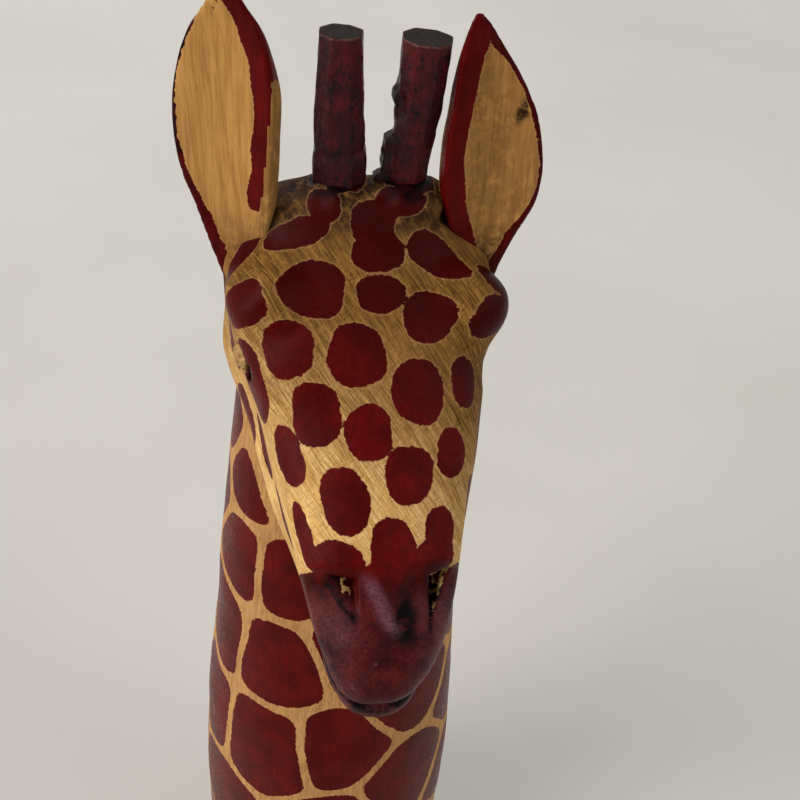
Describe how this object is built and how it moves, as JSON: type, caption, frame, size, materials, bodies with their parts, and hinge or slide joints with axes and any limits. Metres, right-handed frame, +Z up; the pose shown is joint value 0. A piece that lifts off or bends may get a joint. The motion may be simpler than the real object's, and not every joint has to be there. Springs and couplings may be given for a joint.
{
  "type": "carved giraffe bust",
  "caption": "Hand-carved wooden giraffe bust: a neck column standing on its cut foot, with a lowered head, glued-on leaf ears and stick horns, stained in dark spots.",
  "frame": {"origin": "centre of the flat cut foot of the neck", "axes": "+Z up the neck, -Y the way the face looks, +X towards the viewer's right when facing the head"},
  "size_m": [0.0759, 0.112, 0.2985],
  "materials": {
    "spotted_wood": "tan wood with oxblood stain spots, sanded, light wax sheen",
    "ear_wood": "bare tan wood with stained rims",
    "stained_stick": "nearly black oxblood stain, whittled facets",
    "pale_plug": "bare pale wood",
    "dowel_wood": "plain dowel"
  },
  "bodies": {
    "root": {"carved_block": "spotted_wood", "ear_left": "ear_wood", "ear_right": "ear_wood", "horn_left": "stained_stick", "horn_right": "stained_stick", "eye_left": "pale_plug", "eye_right": "pale_plug", "ear_left_dowel": "dowel_wood", "ear_right_dowel": "dowel_wood", "horn_left_dowel": "dowel_wood", "horn_right_dowel": "dowel_wood"}
  },
  "joints": []
}
